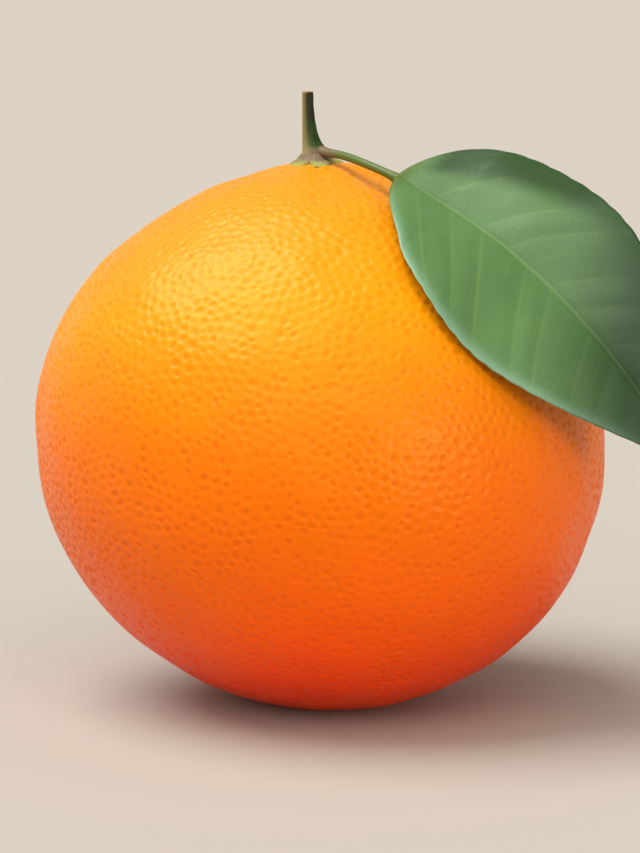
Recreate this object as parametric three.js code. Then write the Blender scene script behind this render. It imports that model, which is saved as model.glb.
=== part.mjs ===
// A fresh orange with its stem stub and one leaf, resting on a small flat spot.
// Millimetres, +Z up. The origin is the centre of the flat spot under the fruit.

import * as THREE from 'three';
import { LoftGeometry } from 'three/addons/geometries/LoftGeometry.js';
import { ConvexHull } from 'three/addons/math/ConvexHull.js';
import { mergeVertices } from 'three/addons/utils/BufferGeometryUtils.js';

// Fruit: a slightly flattened ball whose axis leans a little to the left.
const FRUIT_RADIUS = 39.8;
const TOP_HALF_HEIGHT = 38.2;
const BOTTOM_HALF_HEIGHT = 37.7;
const CENTRE_HEIGHT = 37;
const AXIS_LEAN = 0.042; // sideways shift for each millimetre of height
const FRUIT_CENTRE_X = -AXIS_LEAN * BOTTOM_HALF_HEIGHT;
const CROWN = new THREE.Vector3(0.02, 0, 1).normalize(); // where the stem grows
const LEFT_SHOULDER = new THREE.Vector3(-0.55, 0, 0.83);
const RIGHT_OF_CROWN = new THREE.Vector3(0.21, 0, 0.98);
const SWELLS = [ // low rises and dips, each fading out over its spread
  { toward: CROWN, rise: 0.8, spread: 8 },
  { toward: RIGHT_OF_CROWN, rise: 0.45, spread: 4.5 },
  { toward: LEFT_SHOULDER, rise: -0.9, spread: 14 },
];

// Peel: pits spread evenly over the fruit, each one a shallow many-sided hollow.
const PIT_COUNT = 1700;
const PIT_DEPTH = 0.24;
const PIT_DEPTH_SPREAD = 0.5; // share of the depth that changes from pit to pit
const PIT_SHIFT = 0.3; // random shift as a share of the pit spacing
const PIT_SEED = 7;
const PITLESS_HEIGHT = 1.2; // the peel is smooth this near the resting surface

// Gap kept between pieces that touch on the real fruit.
const TOUCH_GAP = 0.3;

// Calyx: a five-lobed button lying on the fruit's crown.
const CALYX_RADIUS = 3.2;
const LOBE_LENGTH = 0.8;
const LOBE_COUNT = 5;
const LOBE_BLUNTNESS = 0.7; // below 1 the lobes are broad and the notches between them narrow
const CALYX_CENTRE_THICKNESS = 0.7;
const CALYX_EDGE_THICKNESS = 0.45;
const CALYX_SIDES = 40;
const CALYX_STEPS = 10;

// Stem stub: its left side is straight, its right side flares towards the foot.
const STEM_LEFT = -4.2;
const STEM_TOP = 85.7;
const STEM_PROFILE = [ // height above the stem's foot and radius
  [0, 1.75],
  [0.5, 1.7],
  [1.2, 1.4],
  [2.6, 1.05],
  [4.5, 0.85],
  [6.5, 0.75],
  [8.4, 0.75],
];
const STEM_SIDES = 20;
const STEM_RIDGES = 5;
const STEM_RIDGE_HEIGHT = 0.06;

// Leaf: centre line of petiole and midrib, from the stem to the tip.
const LEAF_LINE = [
  [-1.2, -1.73, 77.8],
  [1.5, -4.8, 77.1],
  [4.6, -8.6, 76.2],
  [8.1, -11.7, 74.8],
  [16.1, -15.3, 70.5],
  [23.8, -18.6, 65.1],
  [30.9, -21.9, 58.7],
  [37.2, -25.0, 51.6],
  [42.7, -27.9, 43.9],
  [46.3, -29.9, 37.5],
];
const PETIOLE_LENGTH = 15;
const PETIOLE_RADIUS = 0.62;
const PETIOLE_TAPER = 0.75; // share of the petiole's radius that is gone at the leaf's tip
const FLATTENING_SHARE = 0.12; // share of the blade over which the round petiole flattens into it
// The blade's two halves: the upper one points away and up, the lower hangs over the fruit.
const UPPER_HALF = {
  side: 1,
  width: 14.5,
  marginAngle: -7, // degrees
  roundness: 0.56, // lower is rounder towards the petiole
  sharpness: 1.04, // higher is more pointed towards the tip
  wave: 0.35,
  wavePhase: -0.3,
};
const LOWER_HALF = {
  side: -1,
  width: 17.3,
  marginAngle: 12,
  roundness: 0.75,
  sharpness: 1.18,
  wave: 0.45,
  wavePhase: 2.4,
};
const BLADE_THICKNESS = 0.6;
const BASE_ROLL = 31; // degrees that the blade is rolled round its midrib
const TIP_ROLL = 64;
const FOLD_ANGLE = 19; // degrees that each half rises from the midrib
const MIDRIB_HEIGHT = 0.55; // how far the midrib stands out underneath
const MIDRIB_WIDTH = 1.3;
const MIDRIB_TAPER = 0.8;
const MARGIN_ROUNDING = 0.03; // share of each half over which the blade's edge is rounded
const VEIN_PITCH = 6.5;
const VEIN_SWEEP = 0.75; // how far a side vein runs forward for each mm outward
const VEIN_RELIEF = 0.12;
const WAVE_PITCH = 21.5;
const LEAF_COLUMNS = [0, 0.03, 0.08, 0.18, 0.32, 0.48, 0.64, 0.8, 0.93, 0.985, 1];
const PETIOLE_SECTIONS = 9;
const BLADE_SECTIONS = 46;

const PEEL = { name: 'orange peel', color: 0xf47a06, roughness: 0.45 };
const DRY_CALYX = { name: 'dry calyx', color: 0x6b6430, roughness: 0.8 };
const GREEN_TWIG = { name: 'green twig', color: 0x2f4714, roughness: 0.65 };
const CITRUS_LEAF = { name: 'citrus leaf', color: 0x4f7d3c, roughness: 0.4 };

const { degToRad, lerp, clamp, smoothstep } = THREE.MathUtils;

// Fruit

// Point of the fruit's surface, without pits, in the direction of a unit vector.
function peelPoint(direction) {
  const halfHeight = direction.z > 0 ? TOP_HALF_HEIGHT : BOTTOM_HALF_HEIGHT;
  const point = new THREE.Vector3(FRUIT_RADIUS, FRUIT_RADIUS, halfHeight).multiply(direction);
  for (const { toward, rise, spread } of SWELLS) {
    const distance = FRUIT_RADIUS * direction.angleTo(toward);
    point.addScaledVector(direction, rise * Math.exp(-((distance / spread) ** 2)));
  }
  point.x += FRUIT_CENTRE_X - AXIS_LEAN * point.z;
  point.z = Math.max(0, CENTRE_HEIGHT + point.z);
  return point;
}

// A small repeatable random number source, a linear congruential generator.
function seededRandom(seed) {
  const multiplier = 1664525;
  const increment = 1013904223;
  const modulus = 2 ** 32;
  let state = seed;
  return () => {
    state = (state * multiplier + increment) % modulus;
    return state / modulus;
  };
}

// Unit vectors spread over a ball in a golden-angle spiral, each shifted a little.
function pitDirections(random) {
  const goldenAngle = Math.PI * (3 - Math.sqrt(5));
  const spacing = Math.sqrt(4 * Math.PI / PIT_COUNT);
  const directions = [];
  for (let i = 0; i < PIT_COUNT; i++) {
    const z = 1 - (2 * i + 1) / PIT_COUNT;
    const across = Math.sqrt(1 - z * z);
    const shift = new THREE.Vector3(random() - 0.5, random() - 0.5, random() - 0.5);
    const direction = new THREE.Vector3(
      across * Math.cos(i * goldenAngle),
      across * Math.sin(i * goldenAngle),
      z,
    );
    directions.push(direction.addScaledVector(shift, 2 * PIT_SHIFT * spacing).normalize());
  }
  return directions;
}

// Moves a surface point towards the fruit's centre, and less so near the resting surface.
function sinkPoint(point, depth) {
  const fade = smoothstep(point.z, 0, PITLESS_HEIGHT);
  const centre = new THREE.Vector3(FRUIT_CENTRE_X, 0, CENTRE_HEIGHT);
  const inward = centre.sub(point).normalize();
  return point.addScaledVector(inward, depth * fade);
}

// The peel is a net of pits. Each pit's middle is sunk, and its rim runs through the
// middles of the triangles that join it to its neighbours.
function fruitGeometry() {
  const random = seededRandom(PIT_SEED);
  const directions = pitDirections(random);
  const hull = new ConvexHull().setFromPoints(directions);
  const pitPoints = new Map(directions.map((direction) => {
    const depth = PIT_DEPTH * (1 - PIT_DEPTH_SPREAD * random());
    return [direction, sinkPoint(peelPoint(direction), depth)];
  }));
  const rimPoints = new Map(hull.faces.map((face) => {
    return [face, peelPoint(face.midpoint.clone().normalize())];
  }));
  const corners = [];
  for (const face of hull.faces) {
    let edge = face.edge;
    do {
      corners.push(pitPoints.get(edge.tail().point), rimPoints.get(edge.twin.face), rimPoints.get(face));
      edge = edge.next;
    } while (edge !== face.edge);
  }
  return mergeVertices(new THREE.BufferGeometry().setFromPoints(corners));
}

// Calyx

// Point above the fruit's crown, at a distance and turn round the stem.
function crownPoint(distance, turn, lift) {
  const tilt = distance / FRUIT_RADIUS;
  const direction = new THREE.Vector3(
    Math.sin(tilt) * Math.cos(turn),
    Math.sin(tilt) * Math.sin(turn),
    Math.cos(tilt),
  );
  const toCrown = new THREE.Quaternion().setFromUnitVectors(new THREE.Vector3(0, 0, 1), CROWN);
  const point = peelPoint(direction.applyQuaternion(toCrown));
  point.z += lift;
  return point;
}

// A ball pressed flat onto the crown, with its rim drawn out into lobes.
function calyxGeometry() {
  const ball = new THREE.SphereGeometry(1, CALYX_SIDES, CALYX_STEPS).rotateX(Math.PI / 2);
  const corners = ball.getAttribute('position');
  for (let i = 0; i < corners.count; i++) {
    const corner = new THREE.Vector3().fromBufferAttribute(corners, i);
    const share = Math.hypot(corner.x, corner.y);
    const turn = Math.atan2(corner.y, corner.x);
    const lobe = Math.abs(Math.cos(LOBE_COUNT * turn / 2)) ** LOBE_BLUNTNESS;
    const reach = CALYX_RADIUS + LOBE_LENGTH * (2 * lobe - 1) * share ** 3;
    const thickness = lerp(CALYX_CENTRE_THICKNESS, CALYX_EDGE_THICKNESS, share * share);
    const lift = TOUCH_GAP + thickness * (1 + corner.z) / 2;
    const { x, y, z } = crownPoint(share * reach, turn, lift);
    corners.setXYZ(i, x, y, z);
  }
  return ball;
}

// Stem

function stemGeometry() {
  const profileHeight = STEM_PROFILE.at(-1)[0];
  const rings = STEM_PROFILE.map(([height, radius]) => {
    const ring = [];
    for (let i = 0; i < STEM_SIDES; i++) {
      const turn = 2 * Math.PI * i / STEM_SIDES;
      const reach = radius + STEM_RIDGE_HEIGHT * Math.cos(STEM_RIDGES * turn);
      ring.push(new THREE.Vector3(
        STEM_LEFT + radius + reach * Math.cos(turn),
        reach * Math.sin(turn),
        STEM_TOP - profileHeight + height,
      ));
    }
    return ring;
  });
  return new LoftGeometry(rings, { capStart: true, capEnd: true });
}

// Leaf

// Width of one half of the blade at a share of the way to the tip.
function halfWidthAt(half, along) {
  const widestAt = half.roundness / (half.roundness + half.sharpness);
  const outline = (t) => t ** half.roundness * (1 - t) ** half.sharpness;
  return half.width * outline(along) / outline(widestAt);
}

// Directions at a place on the centre line: forward, across the blade and out of its face.
function leafFrame(curve, share, along) {
  const forward = curve.getTangentAt(share);
  const level = new THREE.Vector3(0, 0, 1).cross(forward).normalize();
  const up = new THREE.Vector3().crossVectors(forward, level);
  const roll = degToRad(lerp(BASE_ROLL, TIP_ROLL, along));
  const across = level.multiplyScalar(Math.cos(roll)).addScaledVector(up, Math.sin(roll));
  const out = new THREE.Vector3().crossVectors(forward, across);
  return { middle: curve.getPointAt(share), across, out };
}

// Offsets of one half of the blade across and out of the midrib's plane. The half starts
// at the fold angle and bends evenly to its angle at the margin.
function halfBladeOffset(column, halfWidth, marginAngle) {
  const start = degToRad(FOLD_ANGLE);
  const bend = degToRad(marginAngle) - start;
  const end = start + bend * column;
  return {
    across: halfWidth * (Math.sin(end) - Math.sin(start)) / bend,
    out: halfWidth * (Math.cos(start) - Math.cos(end)) / bend,
  };
}

// Slow waves of the margin and the low quilting between the side veins.
function bladeRelief(half, column, halfWidth, distance) {
  const wave = Math.sin(2 * Math.PI * distance / WAVE_PITCH + half.wavePhase);
  const swept = distance - VEIN_SWEEP * column * halfWidth;
  const vein = Math.cos(2 * Math.PI * swept / VEIN_PITCH);
  const veinFade = Math.sqrt(Math.sin(Math.PI * column));
  const size = halfWidth / half.width;
  return size * (half.wave * size * column ** 3 * wave - VEIN_RELIEF * veinFade * vein);
}

// A closed ring round the leaf: over its face from the upper to the lower margin, and back.
function leafRing(curve, distance, bladeLength) {
  const along = clamp((distance - PETIOLE_LENGTH) / bladeLength, 0, 1);
  const frame = leafFrame(curve, distance / (PETIOLE_LENGTH + bladeLength), along);
  const bladeShare = smoothstep(along, 0, FLATTENING_SHARE);
  const petioleRadius = PETIOLE_RADIUS * (1 - PETIOLE_TAPER * along);
  const rib = MIDRIB_HEIGHT * (1 - MIDRIB_TAPER * along);
  const ringPoint = (half, column, face) => {
    const halfWidth = halfWidthAt(half, along);
    const offset = halfBladeOffset(column, halfWidth, half.marginAngle);
    const relief = bladeRelief(half, column, halfWidth, distance - PETIOLE_LENGTH);
    const round = petioleRadius * Math.sqrt(1 - column * column);
    const edge = Math.min(1, Math.sqrt((1 - column) / MARGIN_ROUNDING));
    const ribShape = Math.exp(-((2 * column * halfWidth / MIDRIB_WIDTH) ** 2));
    const flat = edge * BLADE_THICKNESS / 2 + (face < 0 ? rib * ribShape : 0);
    const halfThickness = lerp(round, flat, bladeShare);
    return frame.middle.clone()
      .addScaledVector(frame.across, half.side * (offset.across + column * petioleRadius))
      .addScaledVector(frame.out, offset.out + relief + face * halfThickness);
  };
  const outward = LEAF_COLUMNS;
  const inward = LEAF_COLUMNS.toReversed();
  return [
    ...inward.map((column) => ringPoint(UPPER_HALF, column, 1)),
    ...outward.slice(1).map((column) => ringPoint(LOWER_HALF, column, 1)),
    ...inward.slice(1).map((column) => ringPoint(LOWER_HALF, column, -1)),
    ...outward.slice(1, -1).map((column) => ringPoint(UPPER_HALF, column, -1)),
  ];
}

function leafGeometry() {
  const curve = new THREE.CatmullRomCurve3(LEAF_LINE.map((point) => new THREE.Vector3(...point)));
  const bladeLength = curve.getLength() - PETIOLE_LENGTH;
  const rings = [];
  for (let i = 0; i < PETIOLE_SECTIONS; i++) {
    rings.push(leafRing(curve, PETIOLE_LENGTH * i / PETIOLE_SECTIONS, bladeLength));
  }
  for (let i = 0; i <= BLADE_SECTIONS; i++) {
    rings.push(leafRing(curve, PETIOLE_LENGTH + bladeLength * i / BLADE_SECTIONS, bladeLength));
  }
  return new LoftGeometry(rings, { capStart: true, capEnd: true });
}

function namedMesh(name, geometry, finish) {
  const mesh = new THREE.Mesh(geometry, new THREE.MeshStandardMaterial(finish));
  mesh.name = name;
  return mesh;
}

const orange = new THREE.Group();
orange.add(namedMesh('fruit', fruitGeometry(), PEEL));
orange.add(namedMesh('calyx', calyxGeometry(), DRY_CALYX));
orange.add(namedMesh('stem', stemGeometry(), GREEN_TWIG));
orange.add(namedMesh('leaf', leafGeometry(), CITRUS_LEAF));

export default orange;
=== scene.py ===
"""A fresh orange with its stem stub and one leaf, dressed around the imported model."""

import math

import bpy
import numpy as np
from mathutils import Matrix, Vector


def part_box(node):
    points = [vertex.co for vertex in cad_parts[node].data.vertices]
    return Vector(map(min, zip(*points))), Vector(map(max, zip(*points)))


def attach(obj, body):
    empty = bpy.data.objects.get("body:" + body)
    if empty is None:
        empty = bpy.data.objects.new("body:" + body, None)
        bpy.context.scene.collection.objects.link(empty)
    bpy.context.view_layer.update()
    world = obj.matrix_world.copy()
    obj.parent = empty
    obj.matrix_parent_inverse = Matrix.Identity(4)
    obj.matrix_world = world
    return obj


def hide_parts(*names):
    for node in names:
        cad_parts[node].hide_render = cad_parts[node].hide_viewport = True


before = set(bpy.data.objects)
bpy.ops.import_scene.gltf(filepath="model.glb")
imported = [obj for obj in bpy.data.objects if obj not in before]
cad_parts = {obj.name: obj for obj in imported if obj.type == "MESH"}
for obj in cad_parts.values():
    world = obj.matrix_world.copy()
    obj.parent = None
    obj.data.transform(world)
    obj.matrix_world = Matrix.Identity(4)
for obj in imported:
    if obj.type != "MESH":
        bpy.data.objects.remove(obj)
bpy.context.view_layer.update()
MM = 0.001

# ---------------------------------------------------------------------------------------
# Camera. It looks a little down on the fruit from half a metre away, through a long lens, and
# the right edge of its frame cuts off the leaf's tip.

VIEW_ELEVATION = math.radians(8)
VIEW_DISTANCE = 498 * MM
VIEW_TARGET = Vector((-1.7, 0, 38.9)) * MM
LENS_LENGTH = 150  # in millimetres, as the sensor's width is
SENSOR_WIDTH = 36

view_back = Vector((0, -math.cos(VIEW_ELEVATION), math.sin(VIEW_ELEVATION)))
camera_data = bpy.data.cameras.new("camera")
camera_data.lens = LENS_LENGTH
camera_data.sensor_width = SENSOR_WIDTH
camera = bpy.data.objects.new("camera", camera_data)
camera.location = VIEW_TARGET + view_back * VIEW_DISTANCE
camera.rotation_euler = (-view_back).to_track_quat("-Z", "Y").to_euler()
bpy.context.collection.objects.link(camera)
bpy.context.scene.camera = camera
bpy.context.scene.view_settings.view_transform = "Standard"

# ---------------------------------------------------------------------------------------
# Studio. A plain pale floor of matt board, and soft light: a key light high on the left, a wide
# panel overhead, a small one low on the right, a broad reflector in front, and a pale surround.

FLOOR_SIZE = 30
FLOOR_COLOUR = "A59E94"
FLOOR_ROUGHNESS = 0.9
HORIZON_COLOUR = "DCD2C4"
ZENITH_COLOUR = "A8A39B"
SKY_FADE = (0.05, 0.7)  # sines of the angles of height between which the sky's colour changes
MIX_FROM, MIX_TO, MIX_RESULT = 6, 7, 2  # places of the colour sockets on a Mix node
LAMPS = (  # name, direction towards it, strength, and how wide it looks from the fruit
    ("key light", (-0.43, 0.00, 0.90), 3.4, math.radians(46)),
    ("overhead panel", (-0.15, -0.62, 0.77), 1.2, math.radians(60)),
    ("side panel", (0.67, -0.73, 0.10), 0.8, math.radians(14)),
    ("front reflector", (0.10, -0.97, 0.20), 0.9, math.radians(100)),
)


def linear(hex_colour):
    """Turn an sRGB hex colour into the linear RGBA that Blender's shaders use."""
    shares = [int(hex_colour[i:i + 2], 16) / 255 for i in (0, 2, 4)]
    return [s / 12.92 if s <= 0.04045 else ((s + 0.055) / 1.055) ** 2.4 for s in shares] + [1.0]


def add_node(tree, kind, inputs=None, **settings):
    """Add a node. inputs maps a socket's name or place to a value or to the socket that feeds it."""
    node = tree.nodes.new(kind)
    for name, value in settings.items():
        setattr(node, name, value)
    for key, value in (inputs or {}).items():
        if isinstance(value, bpy.types.NodeSocket):
            tree.links.new(value, node.inputs[key])
        else:
            node.inputs[key].default_value = value
    return node


def new_material(name):
    """A material with nothing but its Principled shader, its node tree and that shader."""
    material = bpy.data.materials.new(name)
    material.use_nodes = True
    shader = material.node_tree.nodes["Principled BSDF"]
    return material, material.node_tree, shader


def add_object(name, mesh, material=None):
    """Put a finished mesh into the scene at the origin."""
    piece = bpy.data.objects.new(name, mesh)
    bpy.context.collection.objects.link(piece)
    if material is not None:
        mesh.materials.append(material)
    return piece


def floor_mesh():
    """One large square with its middle at the origin."""
    mesh = bpy.data.meshes.new("floor")
    half = FLOOR_SIZE / 2
    corners = [(-half, -half, 0), (half, -half, 0), (half, half, 0), (-half, half, 0)]
    mesh.from_pydata(corners, [], [(0, 1, 2, 3)])
    return mesh


board, _, board_shader = new_material("matt pale board")
board_shader.inputs["Base Color"].default_value = linear(FLOOR_COLOUR)
board_shader.inputs["Roughness"].default_value = FLOOR_ROUGHNESS
floor = add_object("floor", floor_mesh(), board)

surround = bpy.data.worlds.new("studio surround")
surround.use_nodes = True
sky = surround.node_tree
heading = add_node(sky, "ShaderNodeTexCoord").outputs["Generated"]
rise = add_node(sky, "ShaderNodeSeparateXYZ", {0: heading}).outputs["Z"]
rise_share = add_node(sky, "ShaderNodeMapRange",
                      {"Value": rise, "From Min": SKY_FADE[0], "From Max": SKY_FADE[1]})
shade = add_node(sky, "ShaderNodeMix",
                 {"Factor": rise_share.outputs[0], MIX_FROM: linear(HORIZON_COLOUR),
                  MIX_TO: linear(ZENITH_COLOUR)}, data_type="RGBA")
sky.links.new(shade.outputs[MIX_RESULT], sky.nodes["Background"].inputs["Color"])
bpy.context.scene.world = surround

for lamp_name, toward, strength, width in LAMPS:
    lamp_data = bpy.data.lights.new(lamp_name, "SUN")
    lamp_data.energy = strength
    lamp_data.angle = width
    lamp = bpy.data.objects.new(lamp_name, lamp_data)
    lamp.rotation_euler = Vector(toward).to_track_quat("Z", "Y").to_euler()
    bpy.context.collection.objects.link(lamp)

# ---------------------------------------------------------------------------------------
# Fruit. A ripe sweet orange, whole. Its waxy rind is full of oil glands, and each leaves a
# shallow pit, about one and a half millimetres from the next. It rests on a flat spot.

FRUIT_LOW, FRUIT_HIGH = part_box("fruit")
FRUIT_RADIUS = (FRUIT_HIGH.y - FRUIT_LOW.y) / 2
TOP_HALF_HEIGHT = 38.2 * MM
BOTTOM_HALF_HEIGHT = 37.7 * MM
CENTRE_HEIGHT = 37 * MM
AXIS_LEAN = 0.042
FRUIT_CENTRE_X = -AXIS_LEAN * BOTTOM_HALF_HEIGHT
CROWN = np.array((0.02, 0, 1)) / math.hypot(0.02, 1)
RIGHT_OF_CROWN = np.array((0.21, 0, 0.98)) / math.hypot(0.21, 0.98)
LEFT_SHOULDER = np.array((-0.55, 0, 0.83)) / math.hypot(0.55, 0.83)
SWELLS = (  # direction towards it, rise, and the spread over which it fades out
    (CROWN, 0.8 * MM, 8 * MM),
    (RIGHT_OF_CROWN, 0.45 * MM, 4.5 * MM),
    (LEFT_SHOULDER, -0.9 * MM, 14 * MM),
)

PIT_DEPTH = 0.42 * MM
PIT_SPACING = 1.2 * MM
PIT_TRIES = 8000.0  # scattered points tried on each unit of area of a ball of radius 1
PIT_SIZES = (0.3, 1.0)  # the shallowest and the deepest pit, as shares of PIT_DEPTH
PIT_RING_SHARE = 0.56
PIT_RING_DEPTH = 0.2
PIT_SEED = 5
PIT_CLOSING = 0.0005  # points nearer than this are merged, on a ball of radius 1
BALL_SUBDIVISIONS = 5
PITLESS_HEIGHT = 1.2 * MM
LUMP_HEIGHT = 0.11 * MM
LUMP_WIDTH = 5.5 * MM
LUMP_SEED = 11
WAVE_COUNT = 14
WAVE_WIDTHS = (0.7, 1.5)  # the narrowest and the widest wave, as shares of the lumps' width
WAVE_PEAK = 4  # about what that many waves add up to where they meet
FURROW_COUNT = 9
FURROW_DEPTH = 0.16 * MM
FURROW_REACH = 9 * MM
FURROW_WANDER = 0.6
SCAR_RADIUS = 1.8 * MM
SCAR_DEPTH = 0.35 * MM

# The rind's colour is partly its own and partly painted light and shade: yellower and lighter up towards
# the light, and a deeper, darker red-orange low down, where the fruit is shaded.
YELLOW_SIDE = Vector((-0.05, -0.05, 0.99))  # the direction in which the rind grows yellower
REDDEST_LEVEL = 7 * MM
YELLOWEST_LEVEL = 73 * MM
RIND_COLOURS = (  # from the blossom end, where the rind is reddest, up to the stem
    (0.0, "FA3C00"), (0.25, "EE5C00"), (0.5, "E66C00"), (0.63, "E27A02"), (0.78, "DF8A04"),
    (1.0, "DC8604"))
MOTTLE_WIDTH = 22.2 * MM
MOTTLE_SHARE = 0.22
GLAND_COLOUR = "C64800"
GLAND_SHARE = 0.2
SCAR_COLOUR = "5A4326"
RIND_GRAIN = 0.714 * MM  # real skin is grained more finely, and is drawn this coarse to show
RIND_GRAIN_DEPTH = 0.06 * MM


def named_input(tree, name, kind, default):
    """Give a geometry tree an input that a modifier can set, and return the socket's identifier."""
    socket = tree.interface.new_socket(name=name, in_out="INPUT", socket_type=kind)
    if default is not None:
        socket.default_value = default
    return socket.identifier


def pitted_ball_tree():
    """Geometry nodes: a unit ball whose cells are the rind's pits, each sunk in two steps. Points
    scattered no closer than the spacing are joined into a net, and its dual gives the cells."""
    tree = bpy.data.node_groups.new("pitted ball", "GeometryNodeTree")
    tree.interface.new_socket(name="Geometry", in_out="OUTPUT", socket_type="NodeSocketGeometry")
    inputs = {
        "Spacing": named_input(tree, "Spacing", "NodeSocketFloat", 0.03),
        "Tries": named_input(tree, "Tries", "NodeSocketFloat", 8000.0),
        "Ring share": named_input(tree, "Ring share", "NodeSocketFloat", 0.5),
        "Ring depth": named_input(tree, "Ring depth", "NodeSocketFloat", 0.001),
        "Pit depth": named_input(tree, "Pit depth", "NodeSocketFloat", 0.004),
        "Seed": named_input(tree, "Seed", "NodeSocketInt", 3),
        "Material": named_input(tree, "Material", "NodeSocketMaterial", None),
    }
    given = add_node(tree, "NodeGroupInput").outputs
    position = add_node(tree, "GeometryNodeInputPosition").outputs[0]
    outward = add_node(tree, "ShaderNodeVectorMath", {0: position}, operation="NORMALIZE").outputs[0]

    ball = add_node(tree, "GeometryNodeMeshIcoSphere",
                    {"Radius": 1.0, "Subdivisions": BALL_SUBDIVISIONS})
    glands = add_node(tree, "GeometryNodeDistributePointsOnFaces",
                      {"Mesh": ball.outputs["Mesh"], "Distance Min": given["Spacing"],
                       "Density Max": given["Tries"], "Seed": given["Seed"]},
                      distribute_method="POISSON")
    on_ball = add_node(tree, "GeometryNodeSetPosition",
                       {"Geometry": glands.outputs["Points"], "Position": outward})
    net = add_node(tree, "GeometryNodeConvexHull", {"Geometry": on_ball.outputs[0]})
    cells = add_node(tree, "GeometryNodeDualMesh", {"Mesh": net.outputs[0]})

    # inputs 2 and 3 are the lowest and the highest number, and output 1 is the number drawn
    size = add_node(tree, "FunctionNodeRandomValue",
                    {2: PIT_SIZES[0], 3: PIT_SIZES[1], "Seed": given["Seed"]}, data_type="FLOAT")
    sized = add_node(tree, "GeometryNodeStoreNamedAttribute",
                     {"Geometry": cells.outputs[0], "Name": "pit size", "Value": size.outputs[1]},
                     data_type="FLOAT", domain="FACE")
    pit_size = add_node(tree, "GeometryNodeInputNamedAttribute", {"Name": "pit size"},
                        data_type="FLOAT").outputs[0]

    geometry, selected = sized.outputs[0], {}
    for share, depth in ((given["Ring share"], given["Ring depth"]), (0.0, given["Pit depth"])):
        raised = add_node(tree, "GeometryNodeExtrudeMesh",
                          {"Mesh": geometry, "Offset Scale": 0.0, "Individual": True, **selected},
                          mode="FACES")
        selected = {"Selection": raised.outputs["Top"]}
        shrunk = add_node(tree, "GeometryNodeScaleElements",
                          {"Geometry": raised.outputs["Mesh"], "Scale": share, **selected},
                          domain="FACE", scale_mode="UNIFORM")
        sink = add_node(tree, "ShaderNodeMath", {0: pit_size, 1: depth}, operation="MULTIPLY")
        kept = add_node(tree, "ShaderNodeMath", {0: 1.0, 1: sink.outputs[0]}, operation="SUBTRACT")
        sunk = add_node(tree, "ShaderNodeVectorMath", {0: outward, "Scale": kept.outputs[0]},
                        operation="SCALE")
        lowered = add_node(tree, "GeometryNodeSetPosition",
                           {"Geometry": shrunk.outputs[0], "Position": sunk.outputs[0], **selected})
        geometry = lowered.outputs[0]
    closed = add_node(tree, "GeometryNodeMergeByDistance",
                      {"Geometry": geometry, "Distance": PIT_CLOSING, **selected})
    smooth = add_node(tree, "GeometryNodeSetShadeSmooth", {"Geometry": closed.outputs[0]})
    painted = add_node(tree, "GeometryNodeSetMaterial",
                       {"Geometry": smooth.outputs[0], "Material": given["Material"]})
    real = add_node(tree, "GeometryNodeRealizeInstances", {"Geometry": painted.outputs[0]})
    add_node(tree, "NodeGroupOutput", {0: real.outputs[0]})
    return tree, inputs


def mesh_from_tree(name, tree, inputs, values):
    """Run a geometry tree on an empty mesh with the given input values, and keep the plain mesh."""
    holder = add_object(name, bpy.data.meshes.new(name))
    modifier = holder.modifiers.new("tree", "NODES")
    modifier.node_group = tree
    for input_name, value in values.items():
        modifier[inputs[input_name]] = value
    evaluated = holder.evaluated_get(bpy.context.evaluated_depsgraph_get())
    mesh = bpy.data.meshes.new_from_object(evaluated)
    bpy.data.objects.remove(holder)
    return mesh


def points_of(mesh):
    """The points of a mesh, one to a row."""
    points = np.empty(len(mesh.vertices) * 3)
    mesh.vertices.foreach_get("co", points)
    return points.reshape(-1, 3)


def paint(mesh, name, values):
    """Keep a number for each point of a mesh, for its material to read."""
    mesh.attributes.new(name, "FLOAT", "POINT").data.foreach_set("value", np.asarray(values).ravel())


def gentle_waves(points, width, seed):
    """Smooth, repeatable lumps between about -1 and 1, with the given width in metres."""
    draw = np.random.default_rng(seed)
    total = np.zeros(len(points))
    for _ in range(WAVE_COUNT):
        axis = draw.normal(size=3)
        axis *= math.pi / (width * draw.uniform(*WAVE_WIDTHS)) / np.linalg.norm(axis)
        total += np.sin(points @ axis + draw.uniform(0, 2 * math.pi))
    return total / WAVE_PEAK


def rind_form(directions):
    """Surface of the fruit, without pits, in the direction of each unit vector."""
    half_height = np.where(directions[:, 2] > 0, TOP_HALF_HEIGHT, BOTTOM_HALF_HEIGHT)
    points = directions * FRUIT_RADIUS
    points[:, 2] = directions[:, 2] * half_height
    for toward, rise, spread in SWELLS:
        distance = FRUIT_RADIUS * np.arccos(np.clip(directions @ toward, -1, 1))
        points += directions * (rise * np.exp(-(distance / spread) ** 2))[:, None]
    from_crown = FRUIT_RADIUS * np.arccos(np.clip(directions @ CROWN, -1, 1))
    turn = np.arctan2(directions[:, 1], directions[:, 0])
    furrow = np.abs(np.sin(turn * FURROW_COUNT / 2 + FURROW_WANDER * np.sin(2 * turn))) - 1
    ring = (from_crown / FURROW_REACH) ** 2 * np.exp(1 - (from_crown / FURROW_REACH) ** 2)
    lumps = gentle_waves(points, LUMP_WIDTH, LUMP_SEED)
    points += directions * (FURROW_DEPTH * furrow * ring + LUMP_HEIGHT * lumps)[:, None]
    points[:, 0] += FRUIT_CENTRE_X - AXIS_LEAN * points[:, 2]
    points[:, 2] += CENTRE_HEIGHT
    return points


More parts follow.
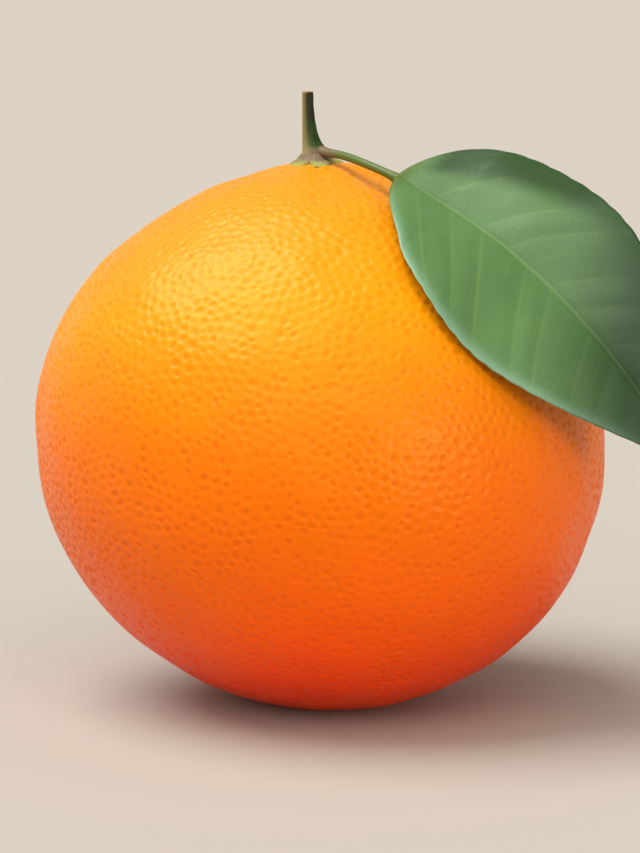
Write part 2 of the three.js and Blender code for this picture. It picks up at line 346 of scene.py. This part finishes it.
def fruit_mesh(material):
    """Shape the pitted ball into the fruit, and note for the material how deep each point lies."""
    tree, inputs = pitted_ball_tree()
    mesh = mesh_from_tree("fruit", tree, inputs, {
        "Spacing": PIT_SPACING / FRUIT_RADIUS,
        "Tries": PIT_TRIES,
        "Ring share": PIT_RING_SHARE,
        "Ring depth": PIT_DEPTH * PIT_RING_DEPTH / FRUIT_RADIUS,
        "Pit depth": PIT_DEPTH / FRUIT_RADIUS,
        "Seed": PIT_SEED,
        "Material": material,
    })
    ball = points_of(mesh)
    reach = np.linalg.norm(ball, axis=1)
    directions = ball / reach[:, None]
    sink = (1 - reach) * FRUIT_RADIUS
    points = rind_form(directions)
    fade = np.clip(points[:, 2] / PITLESS_HEIGHT, 0, 1)
    points -= directions * (sink * fade)[:, None]
    from_scar = np.hypot(points[:, 0], points[:, 1]) / SCAR_RADIUS
    scar = np.exp(-from_scar ** 4) * (points[:, 2] < PITLESS_HEIGHT)
    points[:, 2] = np.maximum(points[:, 2], 0) + SCAR_DEPTH * scar
    mesh.vertices.foreach_set("co", points.ravel())
    paint(mesh, "pit", sink * fade / PIT_DEPTH)
    paint(mesh, "scar", scar)
    mesh.update()
    return mesh


def rind_material():
    """Waxed citrus rind: a soft gloss broken up by the pits, yellower and lighter towards the stem and a
    deeper, darker red-orange below, partly its own colour and partly painted shade, with darker oil
    glands."""
    material, tree, shader = new_material("waxed citrus rind")
    place = add_node(tree, "ShaderNodeTexCoord").outputs["Object"]
    yellowness = add_node(tree, "ShaderNodeVectorMath", {0: place, 1: YELLOW_SIDE},
                          operation="DOT_PRODUCT")
    share = add_node(tree, "ShaderNodeMapRange",
                     {"Value": yellowness.outputs["Value"], "From Min": REDDEST_LEVEL,
                      "From Max": YELLOWEST_LEVEL})
    mottle = add_node(tree, "ShaderNodeTexNoise",
                      {"Vector": place, "Scale": 1 / MOTTLE_WIDTH, "Detail": 3.0})
    drift = add_node(tree, "ShaderNodeMath",
                     {0: mottle.outputs["Fac"], 1: MOTTLE_SHARE, 2: -MOTTLE_SHARE / 2},
                     operation="MULTIPLY_ADD")
    # the ramp's place: the height, which brings the painted shade low down, plus the mottle
    ripeness_and_shade = add_node(tree, "ShaderNodeMath", {0: share.outputs[0], 1: drift.outputs[0]},
                        operation="ADD")
    ramp = add_node(tree, "ShaderNodeValToRGB", {0: ripeness_and_shade.outputs[0]})
    stops = ramp.color_ramp.elements
    for position, _ in RIND_COLOURS[1:-1]:
        stops.new(position)
    for stop, (position, colour) in zip(stops, RIND_COLOURS):
        stop.position, stop.color = position, linear(colour)
    pit = add_node(tree, "ShaderNodeAttribute", attribute_name="pit").outputs["Fac"]
    gland_share = add_node(tree, "ShaderNodeMath", {0: pit, 1: GLAND_SHARE}, operation="MULTIPLY",
                           use_clamp=True)
    glands = add_node(tree, "ShaderNodeMix",
                      {"Factor": gland_share.outputs[0], MIX_FROM: ramp.outputs[0],
                       MIX_TO: linear(GLAND_COLOUR)}, data_type="RGBA")
    scar = add_node(tree, "ShaderNodeAttribute", attribute_name="scar").outputs["Fac"]
    scarred = add_node(tree, "ShaderNodeMix",
                       {"Factor": scar, MIX_FROM: glands.outputs[MIX_RESULT],
                        MIX_TO: linear(SCAR_COLOUR)}, data_type="RGBA")
    tree.links.new(scarred.outputs[MIX_RESULT], shader.inputs["Base Color"])

    grain = add_node(tree, "ShaderNodeTexNoise",
                     {"Vector": place, "Scale": 1 / RIND_GRAIN, "Detail": 2.0})
    bump = add_node(tree, "ShaderNodeBump", {"Strength": 0.35, "Distance": RIND_GRAIN_DEPTH,
                                             "Height": grain.outputs["Fac"]})
    tree.links.new(bump.outputs[0], shader.inputs["Normal"])
    shader.inputs["Roughness"].default_value = 0.37
    shader.inputs["IOR"].default_value = 1.45
    shader.inputs["Specular IOR Level"].default_value = 0.5
    shader.inputs["Specular Tint"].default_value = linear("FFDB80")
    shader.inputs["Subsurface Weight"].default_value = 0.08
    shader.inputs["Subsurface Radius"].default_value = (1.0, 0.35, 0.08)
    shader.inputs["Subsurface Scale"].default_value = 3 * MM
    return material


fruit = add_object("fruit_rind", fruit_mesh(rind_material()))
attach(fruit, "root")
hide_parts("fruit")

# ---------------------------------------------------------------------------------------
# Calyx. The small woody button that stays on the crown, with five short, blunt sepals pressed
# onto the rind and a raised collar in the middle, where the stem grows out of it.

CALYX_RADIUS = 3.2 * MM
LOBE_LENGTH = 0.8 * MM
LOBE_COUNT = 5
LOBE_BLUNTNESS = 0.7
CALYX_SINK = 0.15 * MM
COLLAR_HEIGHT = 1.5 * MM
COLLAR_RADIUS = 2.55 * MM
SEPAL_HEIGHT = 0.6 * MM
SHOULDER_SQUARENESS = 6  # of the collar and of the sepals' edge
SEPAL_RIDGE = 0.16 * MM
CALYX_WRINKLE = 0.05 * MM
WRINKLE_COUNTS = (23, 37)
FINE_WRINKLE_SHARE = 0.7
CALYX_COLUMNS = 200
UNDERSIDE_RINGS = 12
TOP_RINGS = 60
INNERMOST_SHARE = 0.03
SEPAL_COLOURS = ((0.05, "7A6452"), (0.34, "6E5A48"), (0.62, "8B8B3A"))  # from the collar to the tips
SEPAL_FIBRE = 2.38 * MM
SEPAL_FIBRE_DEPTH = 0.08 * MM


def crown_points(distance, turn):
    """Points of the rind at a distance from the crown, on each of the turns round it."""
    tilt = distance / FRUIT_RADIUS
    side, ahead = np.sin(tilt) * np.cos(turn), np.sin(tilt) * np.sin(turn)
    directions = np.stack((side * CROWN[2] + np.cos(tilt) * CROWN[0], ahead,
                           np.cos(tilt) * CROWN[2] - side * CROWN[0]), axis=1)
    return rind_form(directions)


def closed_loft(name, rings, material):
    """A closed skin through rings of points, each ordered anticlockwise as seen from the last
    ring, with a point in the middle of each end."""
    rows, columns = rings.shape[:2]
    points = np.concatenate((rings.reshape(-1, 3), rings[[0, -1]].mean(axis=1)))
    grid = np.arange(rows * columns).reshape(rows, columns)
    beside = np.roll(grid, -1, axis=1)
    walls = np.stack((grid[:-1], beside[:-1], beside[1:], grid[1:]), axis=-1).reshape(-1, 4)
    first, last = rows * columns, rows * columns + 1
    faces = walls.tolist()
    faces += [(first, int(b), int(a)) for a, b in zip(grid[0], beside[0])]
    faces += [(last, int(a), int(b)) for a, b in zip(grid[-1], beside[-1])]
    mesh = bpy.data.meshes.new(name)
    mesh.from_pydata(points.tolist(), [], faces)
    mesh.shade_smooth()
    mesh.update()
    return add_object(name, mesh, material)


def calyx_rings():
    """Rings from the middle of the underside, out to the sepals' edge, and back over the top."""
    turns = np.linspace(0, 2 * math.pi, CALYX_COLUMNS, endpoint=False)
    lobe = np.abs(np.cos(LOBE_COUNT * turns / 2)) ** LOBE_BLUNTNESS
    coarse, fine = WRINKLE_COUNTS
    wrinkle = np.sin(coarse * turns) + FINE_WRINKLE_SHARE * np.sin(fine * turns + 1)
    rings = []
    for level, shares in ((0, np.linspace(INNERMOST_SHARE, 1, UNDERSIDE_RINGS)),
                          (1, np.linspace(1, INNERMOST_SHARE, TOP_RINGS))):
        for share in shares:
            reach = CALYX_RADIUS + LOBE_LENGTH * (2 * lobe - 1) * share ** 3
            points = crown_points(share * reach, turns)
            collar = COLLAR_HEIGHT * np.exp(-(share * reach / COLLAR_RADIUS) ** SHOULDER_SQUARENESS)
            sepal = SEPAL_HEIGHT * math.sqrt(max(0, 1 - share ** SHOULDER_SQUARENESS))
            ridge = SEPAL_RIDGE * (lobe - 0.5) * math.sin(math.pi * min(1, share * 1.05)) ** 2
            rough = CALYX_WRINKLE * wrinkle * share * (1 - share) * 4
            points[:, 2] += level * (np.maximum(collar, sepal) + ridge + rough) - CALYX_SINK
            rings.append(points)
    return np.array(rings)


def dry_calyx_material():
    """Dried sepals: matt, corky and fibrous, grey-brown with olive left at the tips."""
    material, tree, shader = new_material("dried corky sepal")
    place = add_node(tree, "ShaderNodeTexCoord").outputs["Object"]
    patches = add_node(tree, "ShaderNodeTexNoise",
                       {"Vector": place, "Scale": 1 / SEPAL_FIBRE, "Detail": 4.0})
    edge = add_node(tree, "ShaderNodeAttribute", attribute_name="reach").outputs["Fac"]
    share = add_node(tree, "ShaderNodeMath", {0: edge, 1: patches.outputs["Fac"]},
                     operation="MULTIPLY")
    ramp = add_node(tree, "ShaderNodeValToRGB", {0: share.outputs[0]})
    stops = ramp.color_ramp.elements
    for position, _ in SEPAL_COLOURS[1:-1]:
        stops.new(position)
    for stop, (position, colour) in zip(stops, SEPAL_COLOURS):
        stop.position, stop.color = position, linear(colour)
    tree.links.new(ramp.outputs[0], shader.inputs["Base Color"])
    bump = add_node(tree, "ShaderNodeBump", {"Strength": 0.6, "Distance": SEPAL_FIBRE_DEPTH,
                                             "Height": patches.outputs["Fac"]})
    tree.links.new(bump.outputs[0], shader.inputs["Normal"])
    shader.inputs["Roughness"].default_value = 0.8
    return material


calyx = closed_loft("calyx_button", calyx_rings(), dry_calyx_material())
calyx_places = points_of(calyx.data)[:, :2]
paint(calyx.data, "reach", np.hypot(*(calyx_places - calyx_places.mean(axis=0)).T) / CALYX_RADIUS)
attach(calyx, "root")
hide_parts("calyx")

# ---------------------------------------------------------------------------------------
# Stem. A short stub of green twig, cut off square, with low ridges down it. Its foot flares
# to the right into the calyx, where the leaf's stalk leaves it.

STEM_LEFT = -4.2 * MM
STEM_TOP = 85.7 * MM
STEM_FOOT = 77.0 * MM
STEM_PROFILE = (  # height above the foot, and radius, in millimetres
    (0, 1.9), (0.4, 1.8), (0.8, 1.68), (1.2, 1.5), (1.7, 1.32), (2.3, 1.18), (3.1, 1.04),
    (4.8, 0.87), (6.8, 0.77), (8.4, 0.76), (8.6, 0.73), (8.7, 0.66))
FOOT_MIDDLE = 1.75 * MM  # the furthest that a ring's middle lies to the right of STEM_LEFT
STEM_RIDGES = 5
STEM_RIDGE_HEIGHT = 0.06 * MM
STEM_RIB_COUNT = 17
STEM_RIB_HEIGHT = 0.02 * MM
STEM_RIB_SWAY = 0.8
STEM_SWAY_PITCH = 1.7 * MM
STEM_LEVELS = 90
STEM_COLUMNS = 96
CUT_RINGS = np.linspace(0.94, 0.04, 16)  # shares of the radius, inwards over the cut end
CUT_ROUGHNESS = 0.02 * MM
CUT_RIPPLE = 24
CUT_DEPTH = 0.14 * MM
CUT_MIDDLE = 0.66 * MM
CUT_RADIUS = 0.72 * MM
PITH_SHARE = 0.35
PITH_DEPTH = 0.12 * MM

BARK_COLOURS = ((0.05, "2E4715"), (0.45, "162C08"), (0.95, "201C06"))  # from the foot to the top
STREAK_WIDTH = 0.769 * MM
STREAK_STRETCH = 0.25
STREAK_SHARE = 0.9
STREAK_DEPTH = 0.05 * MM
CORK_COLOUR = "6A5745"
CORK_SHARE = 0.9
CORK_LEVELS = (77.6 * MM, 78.3 * MM)  # heights between which the foot's cork turns to bark
# A painted highlight: a paler streak down the stub's left side, towards the key light.
PAINTED_HIGHLIGHT_COLOUR = "968A58"
PAINTED_HIGHLIGHT_TURN = math.radians(200)
PAINTED_HIGHLIGHT_SHARE = 0.85
CUT_COLOUR = "A0784A"


def stem_rings():
    """Rings up the stub, and then inwards over its cut end to the sunken pith."""
    heights, radii = np.array(STEM_PROFILE).T * MM
    turns = np.linspace(0, 2 * math.pi, STEM_COLUMNS, endpoint=False)
    rings = []

    def add_ring(height, radius, share):
        sway = STEM_RIB_SWAY * math.sin(height / STEM_SWAY_PITCH)
        ridges = STEM_RIDGE_HEIGHT * np.cos(STEM_RIDGES * turns) + STEM_RIB_HEIGHT * np.cos(
            STEM_RIB_COUNT * turns + sway)
        reach = share * (radius + ridges)
        # the left side stays straight while the foot widens
        middle = STEM_LEFT + min(radius, FOOT_MIDDLE)
        rings.append(np.stack((middle + reach * np.cos(turns), reach * np.sin(turns),
                               np.full(len(turns), STEM_FOOT + height)), axis=1))

    for level in np.linspace(0, heights[-1], STEM_LEVELS):
        add_ring(level, np.interp(level, heights, radii), 1.0)
    for share in CUT_RINGS:
        dip = PITH_DEPTH * math.exp(-(share / PITH_SHARE) ** 4)
        ripple = CUT_ROUGHNESS * math.sin(CUT_RIPPLE * share)
        add_ring(heights[-1] - dip + ripple, radii[-1], share)
    return np.array(rings)


def twig_material():
    """Young citrus bark: dark green and slightly waxy, with a corky foot, a paler cut end, and a
    painted highlight down its left side."""
    material, tree, shader = new_material("green citrus bark")
    place = add_node(tree, "ShaderNodeTexCoord").outputs["Object"]
    along_stem = add_node(tree, "ShaderNodeMapping",
                          {"Vector": place, "Scale": (1.0, 1.0, STREAK_STRETCH)})
    streaks = add_node(tree, "ShaderNodeTexNoise",
                       {"Vector": along_stem.outputs[0], "Scale": 1 / STREAK_WIDTH, "Detail": 3.0})
    height = add_node(tree, "ShaderNodeSeparateXYZ", {0: place}).outputs["Z"]
    share = add_node(tree, "ShaderNodeMapRange",
                     {"Value": height, "From Min": STEM_FOOT, "From Max": STEM_TOP})
    drift = add_node(tree, "ShaderNodeMath",
                     {0: streaks.outputs["Fac"], 1: STREAK_SHARE, 2: -STREAK_SHARE / 2},
                     operation="MULTIPLY_ADD")
    place_share = add_node(tree, "ShaderNodeMath", {0: share.outputs[0], 1: drift.outputs[0]},
                           operation="ADD")
    ramp = add_node(tree, "ShaderNodeValToRGB", {0: place_share.outputs[0]})
    stops = ramp.color_ramp.elements
    for position, _ in BARK_COLOURS[1:-1]:
        stops.new(position)
    for stop, (position, colour) in zip(stops, BARK_COLOURS):
        stop.position, stop.color = position, linear(colour)
    corky = add_node(tree, "ShaderNodeMapRange",
                     {"Value": height, "From Min": CORK_LEVELS[0], "From Max": CORK_LEVELS[1],
                      "To Min": CORK_SHARE, "To Max": 0.0})
    highlight_mark = add_node(tree, "ShaderNodeAttribute", attribute_name="dry side")
    cut = add_node(tree, "ShaderNodeAttribute", attribute_name="cut")
    colour = ramp.outputs[0]
    for mark, tint in ((corky.outputs[0], CORK_COLOUR), (highlight_mark.outputs["Fac"], PAINTED_HIGHLIGHT_COLOUR),
                       (cut.outputs["Fac"], CUT_COLOUR)):
        mixed = add_node(tree, "ShaderNodeMix",
                         {"Factor": mark, MIX_FROM: colour, MIX_TO: linear(tint)}, data_type="RGBA")
        colour = mixed.outputs[MIX_RESULT]
    tree.links.new(colour, shader.inputs["Base Color"])
    bump = add_node(tree, "ShaderNodeBump", {"Strength": 0.5, "Distance": STREAK_DEPTH,
                                             "Height": streaks.outputs["Fac"]})
    tree.links.new(bump.outputs[0], shader.inputs["Normal"])
    shader.inputs["Roughness"].default_value = 0.55
    shader.inputs["Specular IOR Level"].default_value = 0.2
    return material


stem_grid = stem_rings()
stem = closed_loft("stem_stub", stem_grid, twig_material())
stem_turns = np.linspace(0, 2 * math.pi, stem_grid.shape[1], endpoint=False)
# painted highlight down the stub's left side
highlight_share = PAINTED_HIGHLIGHT_SHARE * np.maximum(0, np.cos(stem_turns - PAINTED_HIGHLIGHT_TURN)) ** 3
paint(stem.data, "dry side", np.append(np.tile(highlight_share, stem_grid.shape[0]), (0, 0)))
stem_points = points_of(stem.data)
from_cut = np.hypot(stem_points[:, 0] - STEM_LEFT - CUT_MIDDLE, stem_points[:, 1])
paint(stem.data, "cut", (stem_points[:, 2] > STEM_TOP - CUT_DEPTH) & (from_cut < CUT_RADIUS))
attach(stem, "root")
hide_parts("stem")

# ---------------------------------------------------------------------------------------
# Leaf. One fresh citrus leaf on a thin stalk that springs from the stem's foot. The blade is
# leathery, folded a little along its midrib, and hangs down in front of the fruit.

LEAF_LINE = np.array((
    (-1.2, -1.5, 77.4), (1.5, -4.8, 77.1), (4.6, -8.6, 76.2), (8.1, -11.7, 74.8),
    (16.1, -15.3, 70.5), (23.8, -18.6, 65.1), (30.9, -21.9, 58.7), (37.2, -25.0, 51.6),
    (42.7, -27.9, 43.9), (46.3, -29.9, 37.5))) * MM
STALK_LENGTH = 15 * MM
STALK_ROOT = 1.1 * MM
STALK_RADIUS = 0.57 * MM
STALK_TAPER = 0.75
ROOT_SWELLING = 0.4
ROOT_SWELLING_LENGTH = 1.1 * MM
JOINT_SWELLING = 0.3  # where the stalk meets the blade
JOINT_SWELLING_LENGTH = 1.2 * MM
STALK_BARK = 3.2 * MM
STALK_GREEN_END = 0.045
BLADE_START = 0.12
UPPER_HALF = {"side": 1, "width": 14.5 * MM, "margin angle": math.radians(-7),
              "roundness": 0.56, "sharpness": 1.04, "wave": 0.35 * MM, "phase": -0.3}
LOWER_HALF = {"side": -1, "width": 17.3 * MM, "margin angle": math.radians(12),
              "roundness": 0.75, "sharpness": 1.18, "wave": 0.45 * MM, "phase": 2.4}
BLADE_THICKNESS = 0.42 * MM
BLADE_EDGE = 0.03  # share of the half width over which the edge is rounded off
BASE_ROLL = math.radians(31)
TIP_ROLL = math.radians(64)
FOLD_ANGLE = math.radians(19)
MIDRIB_HEIGHT = 0.55 * MM
MIDRIB_WIDTH = 1.3 * MM
MIDRIB_TAPER = 0.8
MIDRIB_GROOVE = 0.28 * MM
GROOVE_WIDTH = 0.75 * MM
VEIN_PITCH = 6.2 * MM
VEIN_SWEEP = 0.55
VEIN_ARCH = 0.45
VEIN_DRIFT = 0.16
VEIN_DRIFT_RATE = 2.6
BRANCH_STRENGTH = 0.45
VEIN_RELIEF = 0.07 * MM
VEIN_WIDTH = 0.5 * MM
VEIN_GROOVE = 0.06 * MM
BUCKLE_HEIGHT = 0.16 * MM
BUCKLE_WIDTH = 6 * MM
BUCKLE_SEED = 21
WAVE_PITCH = 21.5 * MM
TOOTH_PITCH = 2.9 * MM
TOOTH_DEPTH = 0.13 * MM
TOOTH_REACH = 12  # the higher, the nearer to the margin the teeth stay
# Width of a painted sheen along the lower half's margin.
SHEEN_RIM_WIDTH = 1.3 * MM
PAINTED_TIP_SHADE = (0.40, 0.78)  # where the painted shade towards the tip starts, and is full, along the blade
PAINTED_TIP_SHADE_LEAN = 0.2
SHADE_BAND_START = (0.02, 0.08)  # where the painted shade band along the upper margin starts, and is full
SHADE_BAND_END = (0.34, 0.50)  # where it starts to fade, and is gone
SHADE_BAND_EDGE = 0.30  # where its inner edge lies on the half blade, at the blade's foot
SHADE_BAND_EDGE_RISE = 1.15
SHADE_BAND_SOFTNESS = 0.3
STALK_ROWS = 50
BLADE_ROWS = 230
ROW_CROWDING = 1.15  # above 1, the rows crowd towards the stalk
HALF_COLUMNS = 62
COLUMN_CROWDING = 1.1
LINE_STEPS = 80

GREENS = ("3E5E33", "567B45")
GREEN_PATCH = 11.1 * MM
NET_PITCH = 0.9 * MM
NET_LINE_WIDTH = 0.14  # as a share of the pitch
NET_DEPTH = 0.04 * MM
# Of these, the rim's pale tint is a painted sheen, and the band's and the tip's dark greens are painted
# shade.
LEAF_TINTS = (  # what is marked, how strongly it is tinted, and its colour, from the lowest up
    ("vein", 0.18, "869C58"), ("net", 0.05, "86A862"), ("rim", 0.5, "86AC92"),
    ("band", 0.85, "17350C"), ("tip", 0.92, "122E08"), ("stalk", 1.0, "4C5E1F"),
    ("bark", 1.0, "6A5A3C"), ("under", 0.65, "87A55C"))
UPPER_ROUGHNESS = 0.4
UNDER_ROUGHNESS = 0.7


def smooth_line(corners, steps):
    """A centripetal Catmull-Rom line through the corners, as many short steps."""
    ends = (2 * corners[0] - corners[1], 2 * corners[-1] - corners[-2])
    chain = np.vstack((ends[0], corners, ends[1]))
    knots = np.sqrt(np.linalg.norm(np.diff(chain, axis=0), axis=1))
    line = []
    for i in range(len(corners) - 1):
        before, here, after, beyond = chain[i:i + 4]
        gap0, gap1, gap2 = knots[i:i + 3]
        pull = ((here - before) / gap0 - (after - before) / (gap0 + gap1) + (after - here) / gap1) * gap1
        push = ((after - here) / gap1 - (beyond - here) / (gap1 + gap2) + (beyond - after) / gap2) * gap1
        t = np.linspace(0, 1, steps, endpoint=False)[:, None]
        line.append(here + pull * t + (3 * (after - here) - 2 * pull - push) * t ** 2
                    + (2 * (here - after) + pull + push) * t ** 3)
    return np.vstack(line + [corners[-1:]])


def smooth_ramp(values, start, end):
    """Rise smoothly from 0 at the start to 1 at the end."""
    share = np.clip((values - start) / (end - start), 0, 1)
    return share * share * (3 - 2 * share)


def leaf_rings():
    """Rings along the stalk and blade, and the shares of each point that the material reads."""
    line = smooth_line(LEAF_LINE, LINE_STEPS)
    run = np.concatenate(((0,), np.cumsum(np.linalg.norm(np.diff(line, axis=0), axis=1))))
    blade_length = run[-1] - STALK_LENGTH
    blade_rows = blade_length * np.linspace(0, 1, BLADE_ROWS) ** ROW_CROWDING
    distance = np.concatenate((np.linspace(-STALK_ROOT, STALK_LENGTH, STALK_ROWS, endpoint=False),
                               STALK_LENGTH + blade_rows))
    middle = np.stack([np.interp(distance, run, line[:, i]) for i in range(3)], axis=1)
    start_direction = (line[1] - line[0]) / np.linalg.norm(line[1] - line[0])
    middle += np.minimum(distance, 0)[:, None] * start_direction
    forward = np.gradient(middle, distance, axis=0)
    forward /= np.linalg.norm(forward, axis=1)[:, None]
    level = np.cross((0, 0, 1), forward)
    level /= np.linalg.norm(level, axis=1)[:, None]
    along = np.clip((distance - STALK_LENGTH) / blade_length, 0, 1)
    roll = (BASE_ROLL + (TIP_ROLL - BASE_ROLL) * along)[:, None]
    across = level * np.cos(roll) + np.cross(forward, level) * np.sin(roll)
    out = np.cross(forward, across)

    blade_share = smooth_ramp(along, 0, BLADE_START)[:, None]
    shade_band_share = (smooth_ramp(along, *SHADE_BAND_START) * (1 - smooth_ramp(along, *SHADE_BAND_END)))[:, None]
    past_stalk = (distance - STALK_LENGTH)[:, None]
    swelling = 1 + ROOT_SWELLING * np.exp(-np.maximum(distance, 0) / ROOT_SWELLING_LENGTH)
    swelling += JOINT_SWELLING * np.exp(-((distance - STALK_LENGTH) / JOINT_SWELLING_LENGTH) ** 2)
    stalk_radius = (STALK_RADIUS * (1 - STALK_TAPER * along) * swelling)[:, None]
    rib = (MIDRIB_HEIGHT * (1 - MIDRIB_TAPER * along))[:, None]

    def sheet(half, column, face):
        """One half of one face: its points, and their shares of vein, of the rim's painted sheen, and of
        the painted shade in the band and towards the tip.
        """
        roundness, sharpness = half["roundness"], half["sharpness"]
        widest = roundness / (roundness + sharpness)
        peak = widest ** roundness * (1 - widest) ** sharpness
        width = half["width"] * along ** roundness * (1 - along) ** sharpness / peak
        size = (width / half["width"])[:, None]
        bulge = np.abs(np.sin(math.pi * past_stalk / TOOTH_PITCH + half["phase"]))
        teeth = TOOTH_DEPTH * (1 - bulge) * size
        width = width[:, None]
        begin, bend = FOLD_ANGLE, half["margin angle"] - FOLD_ANGLE
        end = begin + bend * column
        sideways = width * (np.sin(end) - math.sin(begin)) / bend - teeth * column ** TOOTH_REACH
        outward = width * (math.cos(begin) - np.cos(end)) / bend
        wave = np.sin(2 * math.pi * past_stalk / WAVE_PITCH + half["phase"])
        swept = (past_stalk - VEIN_SWEEP * column * width * (1 + VEIN_ARCH * column)) / VEIN_PITCH
        swept += half["phase"] / 4 + VEIN_DRIFT * np.sin(VEIN_DRIFT_RATE * swept + half["phase"])
        fade = np.sqrt(np.sin(math.pi * np.clip(column, 0, 1)).clip(0))
        from_vein = (swept - np.round(swept)) * VEIN_PITCH
        from_branch = (swept - np.floor(swept) - 0.5) * VEIN_PITCH
        vein = np.exp(-(from_vein / VEIN_WIDTH * 2) ** 2) * fade * size
        branch = np.exp(-(from_branch / VEIN_WIDTH * 3) ** 2) * fade * size * (1 - column)
        vein += BRANCH_STRENGTH * branch
        from_rib = column * width
        groove = np.exp(-(from_rib / GROOVE_WIDTH * 2) ** 2)
        sheet_middle = (middle[:, None] + across[:, None] * (half["side"] * sideways)[..., None]
                        + out[:, None] * outward[..., None])
        buckle = gentle_waves(sheet_middle.reshape(-1, 3), BUCKLE_WIDTH, BUCKLE_SEED)
        buckle = buckle.reshape(sideways.shape)
        relief = size * (half["wave"] * size * column ** 3 * wave + BUCKLE_HEIGHT * fade * buckle
                         - VEIN_RELIEF * fade * np.cos(2 * math.pi * swept)) - VEIN_GROOVE * vein
        edge = np.minimum(1, np.sqrt((1 - column) / BLADE_EDGE))
        rounded = stalk_radius * np.sqrt(1 - column ** 2)
        if face < 0:
            rib_shape = rib * np.exp(-(2 * from_rib / MIDRIB_WIDTH) ** 2)
        else:
            rib_shape = -MIDRIB_GROOVE * groove * (1 - along[:, None])
        flat = edge * (BLADE_THICKNESS / 2) + rib_shape
        thick = rounded + (flat - rounded) * blade_share
        points = (middle[:, None]
                  + across[:, None] * (half["side"] * (sideways + column * stalk_radius))[..., None]
                  + out[:, None] * (outward + relief + face * thick)[..., None])
        # painted sheen along the lower half's margin
        rim = np.exp(-((1 - column) * width / SHEEN_RIM_WIDTH) ** 2) * blade_share * (half["side"] < 0)
        # painted shade: a dark band along the upper half's margin, on the upper face only
        into_shade_band = (column - SHADE_BAND_EDGE - SHADE_BAND_EDGE_RISE * along[:, None]) / SHADE_BAND_SOFTNESS
        band = smooth_ramp(into_shade_band, -0.5, 0.5) * shade_band_share * (half["side"] * face > 0)
        # painted shade, darkening the blade towards its tip, sooner on its upper half
        tip = smooth_ramp(along[:, None] + PAINTED_TIP_SHADE_LEAN * half["side"] * column, *PAINTED_TIP_SHADE)
        return points, np.maximum(vein, groove * blade_share), rim, band, tip

    columns = np.sin(np.linspace(0, math.pi / 2, HALF_COLUMNS)) ** COLUMN_CROWDING
    inward = columns[::-1]
    parts = (sheet(UPPER_HALF, inward, 1), sheet(LOWER_HALF, columns[1:], 1),
             sheet(LOWER_HALF, inward[1:], -1), sheet(UPPER_HALF, columns[1:-1], -1))
    rings, vein, rim, band, tip = (np.concatenate(layer, axis=1) for layer in zip(*parts))
    under = np.zeros(rings.shape[:2])
    under[:, len(inward) + len(columns) - 1:] = blade_share
    stalk = np.broadcast_to(1 - smooth_ramp(along, 0, STALK_GREEN_END)[:, None], under.shape)
    bark = np.broadcast_to(np.exp(-(np.maximum(distance, 0) / STALK_BARK) ** 4)[:, None], under.shape)
    return rings, {"vein": vein, "rim": rim, "band": band, "tip": tip, "under": under,
                   "stalk": stalk, "bark": bark}


def leaf_material():
    """Fresh citrus leaf: deep green with a waxy gloss above, paler and matt below, with pale
    veins and a fine net of smaller ones between them. A painted sheen runs along the lower margin,
    and painted shade darkens a band along the upper margin and the blade towards its tip."""
    material, tree, shader = new_material("waxy citrus leaf")
    place = add_node(tree, "ShaderNodeTexCoord").outputs["Object"]
    net = add_node(tree, "ShaderNodeTexVoronoi", {"Vector": place, "Scale": 1 / NET_PITCH},
                   feature="DISTANCE_TO_EDGE")
    net_line = add_node(tree, "ShaderNodeMapRange",
                        {"Value": net.outputs["Distance"], "From Min": 0.0,
                         "From Max": NET_LINE_WIDTH, "To Min": 1.0, "To Max": 0.0})
    patches = add_node(tree, "ShaderNodeTexNoise",
                       {"Vector": place, "Scale": 1 / GREEN_PATCH, "Detail": 3.0})
    green = add_node(tree, "ShaderNodeMix",
                     {"Factor": patches.outputs["Fac"], MIX_FROM: linear(GREENS[0]),
                      MIX_TO: linear(GREENS[1])}, data_type="RGBA")
    colour = green.outputs[MIX_RESULT]
    for name, strength, tint in LEAF_TINTS:
        if name == "net":
            mark = net_line.outputs[0]
        else:
            mark = add_node(tree, "ShaderNodeAttribute", attribute_name=name).outputs["Fac"]
        share = add_node(tree, "ShaderNodeMath", {0: mark, 1: strength}, operation="MULTIPLY")
        tinted = add_node(tree, "ShaderNodeMix",
                          {"Factor": share.outputs[0], MIX_FROM: colour, MIX_TO: linear(tint)},
                          data_type="RGBA")
        colour = tinted.outputs[MIX_RESULT]
    tree.links.new(colour, shader.inputs["Base Color"])
    under = add_node(tree, "ShaderNodeAttribute", attribute_name="under").outputs["Fac"]
    gloss = add_node(tree, "ShaderNodeMapRange",
                     {"Value": under, "From Min": 0.0, "From Max": 1.0, "To Min": UPPER_ROUGHNESS,
                      "To Max": UNDER_ROUGHNESS})
    tree.links.new(gloss.outputs[0], shader.inputs["Roughness"])
    bump = add_node(tree, "ShaderNodeBump", {"Strength": 0.2, "Distance": NET_DEPTH,
                                             "Height": net_line.outputs[0]}, invert=True)
    tree.links.new(bump.outputs[0], shader.inputs["Normal"])
    shader.inputs["IOR"].default_value = 1.45
    shader.inputs["Specular IOR Level"].default_value = 0.42
    return material


leaf_grid, leaf_shares = leaf_rings()
leaf = closed_loft("leaf_blade_and_stalk", leaf_grid, leaf_material())
for share_name, values in leaf_shares.items():
    paint(leaf.data, share_name, np.concatenate((values.ravel(), values[[0, -1], 0])))
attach(leaf, "root")
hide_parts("leaf")
